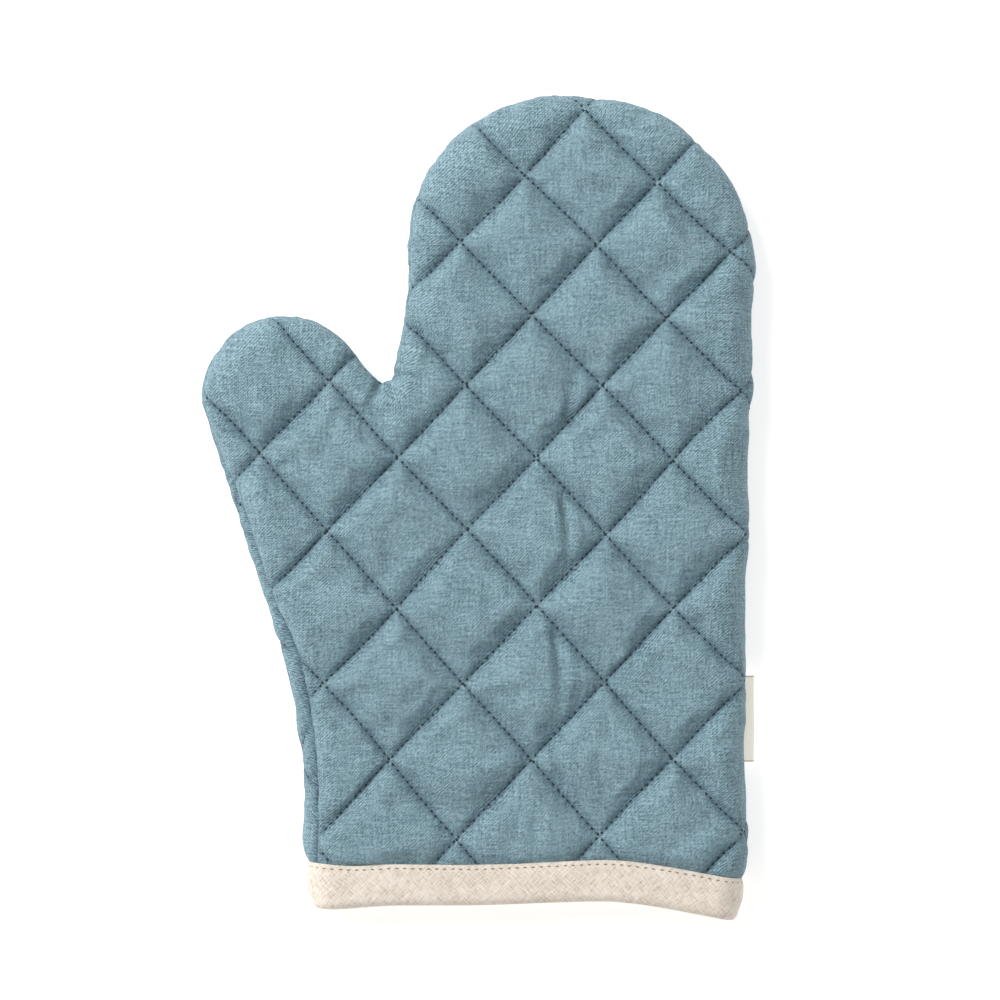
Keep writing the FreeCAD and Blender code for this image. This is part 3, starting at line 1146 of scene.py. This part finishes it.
def plain_linen(name, dark, middle, pale, turn, shade_grooves=False):
    """Plain-woven linen, with its yarns turned by so many degrees."""
    n = Nodes(name)
    flat = n.turned(n.attribute("flat"), turn)
    weft = yarns(n, flat, 0.50 * MM, 4.5 * MM, 3.0)
    warp = yarns(n, n.turned(flat, 90.0), 0.50 * MM, 4.5 * MM, 3.0)
    speck = n.noise(flat, 2100.0, 1.0)
    cloud = n.noise(flat, 60.0, 3.0, 0.55)
    tone = weighted(n, (weft, 1.25), (warp, 1.25), (speck, 0.60), (cloud, 0.45))
    colour = n.ramp(tone, ((0.12, dark), (0.88, pale), (0.5, middle)))
    if shade_grooves:
        # painted shade down the stitched grooves
        colour = paint_groove_shade(n, colour)
    return linen_finish(n, colour, tone)


def spun_thread(name, colour, pale):
    """Sewing thread with its ply's twist."""
    n = Nodes(name)
    flat = n.turned(n.attribute("flat"), 35.0)
    twist = n.noise(n.mapped(flat, (7000.0, 1200.0, 1.0)), 1.0, 2.0)
    n.shade("Base Color", n.ramp(twist, ((0.35, colour), (0.7, pale))))
    n.shade("Roughness", 0.7)
    n.shade("Sheen Weight", 0.1)
    n.shade("Normal", n.bump(twist, 0.5, 0.06 * MM))
    return n.material


def fibre_wadding(name):
    """Loose cotton wadding."""
    n = Nodes(name)
    flat = n.attribute("flat")
    fluff = n.noise(flat, 700.0, 5.0, 0.7)
    n.shade("Base Color", n.ramp(fluff, ((0.3, (0.62, 0.59, 0.53)), (0.7, (0.88, 0.86, 0.82)))))
    n.shade("Roughness", 1.0)
    n.shade("Normal", n.bump(fluff, 0.8, 0.6 * MM))
    return n.material


TAPE_RIB = 0.70 * MM


def woven_tape(name):
    """Cream label tape with a close rib, a dark line at each end, and a faint painted glow standing in
    for the table's light let through it from below.
    """
    n = Nodes(name)
    flat = n.attribute("flat")
    ridges = n.scaled(rib(n, flat, TAPE_RIB), 0.5, 0.5)
    cloud = n.noise(flat, 260.0, 3.0, 0.6)
    tone = n.math("ADD", n.math("MULTIPLY", ridges, 0.3), n.math("MULTIPLY", cloud, 0.7))
    colour = n.ramp(tone, ((0.25, (0.88, 0.83, 0.74)), (0.8, (0.97, 0.95, 0.89))))
    middle = (label_low.y + label_high.y) / 2.0
    half = (label_high.y - label_low.y) / 2.0
    from_middle = n.math("ABSOLUTE", n.math("SUBTRACT", second(n, flat), middle))
    at_end = n.math("GREATER_THAN", from_middle, half - LABEL_END)
    colour = n.mix(at_end, colour, (0.22, 0.18, 0.13))
    n.shade("Base Color", colour)
    # painted light: a faint glow, standing in for the table's light let through the thin tape
    n.shade("Emission Color", (1.0, 0.93, 0.80))
    n.shade("Emission Strength", 0.34)
    n.shade("Roughness", 0.6)
    n.shade("Normal", n.bump(ridges, 0.5, 0.08 * MM))
    return n.material


def table_paper(name):
    """Pale translucent sheet that the mitt lies on, softly lit from below."""
    n = Nodes(name)
    place = n.make("ShaderNodeTexCoord").outputs["Object"]
    grain = n.noise(place, 60.0, 4.0)
    n.shade("Base Color", n.ramp(grain, ((0.3, (0.92, 0.92, 0.92)), (0.7, (0.94, 0.94, 0.94)))))
    n.shade("Emission Color", (1.0, 0.99, 0.975))
    n.shade("Emission Strength", 0.54)
    n.shade("Roughness", 0.9)
    n.shade("Specular IOR Level", 0.1)
    return n.material


# --- putting it together ---

def settle(piece, material, slot, *nodes):
    """Dress a piece, and let it stand for its CAD nodes."""
    piece.data.materials.clear()
    piece.data.materials.append(material)
    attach(piece, "root")
    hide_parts(*nodes)


TEAL = ((0.085, 0.142, 0.172), (0.205, 0.321, 0.376), (0.380, 0.550, 0.615))
OATMEAL = ((0.54, 0.445, 0.35), (0.845, 0.75, 0.645), (0.97, 0.93, 0.87))
NATURAL = ((0.46, 0.39, 0.30), (0.70, 0.63, 0.53), (0.84, 0.79, 0.70))

teal_linen = twill_linen("teal_linen", *TEAL)
bias_linen = plain_linen("bias_linen", *OATMEAL, 45.0)
lining_cloth = plain_linen("lining_cloth", *NATURAL, 0.0, True)
dark_thread = spun_thread("dark_thread", (0.008, 0.019, 0.025), (0.028, 0.052, 0.066))
# thread of the binding's own oatmeal, painted darker brown as the shade in its needle holes
oat_thread_shade_painted = spun_thread("oat_thread_shade_painted", (0.24, 0.185, 0.14), (0.44, 0.36, 0.285))
pale_thread = spun_thread("pale_thread", (0.52, 0.46, 0.38), (0.74, 0.69, 0.60))
cotton = fibre_wadding("cotton_wadding")
tape = woven_tape("label_tape")

for word, side, shift, puff, seed in (("front", 1, 0.0, PUFF, 3), ("back", -1, BACK_SHIFT, BACK_PUFF, 4)):
    panel = Panel(side, shift, FINE)
    face = face_cloth(word + "_face", panel, puff, seed)
    settle(face, teal_linen, "face_linen", word + "_face_panel")
    hidden = Panel(side, shift, COARSE)
    pad = wadding(word + "_pad", hidden, puff)
    settle(pad, cotton, "wadding", word + "_wadding")
    inner = lining(word + "_inner", hidden)
    settle(inner, lining_cloth, "lining", word + "_lining")
    rows = quilting(word + "_quilting", panel, face)
    settle(rows, dark_thread, "dark_thread", word + "_quilting_thread")

seam = seam_thread("seam_row")
settle(seam, dark_thread, "dark_thread", "perimeter_seam_thread")
ridge = overlock("overlocked_edges")
settle(ridge, pale_thread, "overlock_thread", "inner_seam_overlock")
strip = binding("bias_binding")
settle(strip, bias_linen, "binding_linen", "cuff_binding")
topstitches = topstitch("binding_topstitch", strip)
settle(topstitches, oat_thread_shade_painted, "binding_thread", "binding_stitching")
tab = label("folded_label")
settle(tab, tape, "label_tape", "side_label")


# --- table, light and camera ---

TABLE_REACH = 2.5
SKY_STRENGTH = 0.50
KEY_PLACE = (-1.20, 1.00, 1.50)
KEY_SIZE = 1.4
KEY_POWER = 39.0
EYE = (8.1 * MM, 3.3 * MM, 1.6)
VIEW_WIDE = 0.385  # what the camera sees across, at the mitt's top


def table():
    r = TABLE_REACH
    verts = [(-r, -r, 0.0), (r, -r, 0.0), (r, r, 0.0), (-r, r, 0.0)]
    piece = new_object("table", verts, [(0, 1, 2, 3)])
    piece.data.materials.append(table_paper("table_paper"))


def softbox():
    """One wide soft lamp, high up at the left."""
    light = bpy.data.lights.new("key", "AREA")
    light.shape = "DISK"
    light.size = KEY_SIZE
    light.energy = KEY_POWER
    lamp = bpy.data.objects.new("key", light)
    lamp.location = KEY_PLACE
    lamp.rotation_mode = "QUATERNION"
    lamp.rotation_quaternion = (-Vector(KEY_PLACE)).to_track_quat("-Z", "Y")
    bpy.context.scene.collection.objects.link(lamp)


def sky():
    world = bpy.data.worlds.new("studio")
    world.use_nodes = True
    background = world.node_tree.nodes["Background"]
    background.inputs["Color"].default_value = (1.0, 0.995, 0.985, 1.0)
    background.inputs["Strength"].default_value = SKY_STRENGTH
    bpy.context.scene.world = world


def camera():
    """Straight above the mitt, far off with a long lens."""
    data = bpy.data.cameras.new("camera")
    data.lens = data.sensor_width * (EYE[2] - THICK) / VIEW_WIDE
    eye = bpy.data.objects.new("camera", data)
    eye.location = EYE
    bpy.context.scene.collection.objects.link(eye)
    bpy.context.scene.camera = eye


table()
sky()
softbox()
camera()
bpy.context.scene.view_settings.view_transform = "Standard"
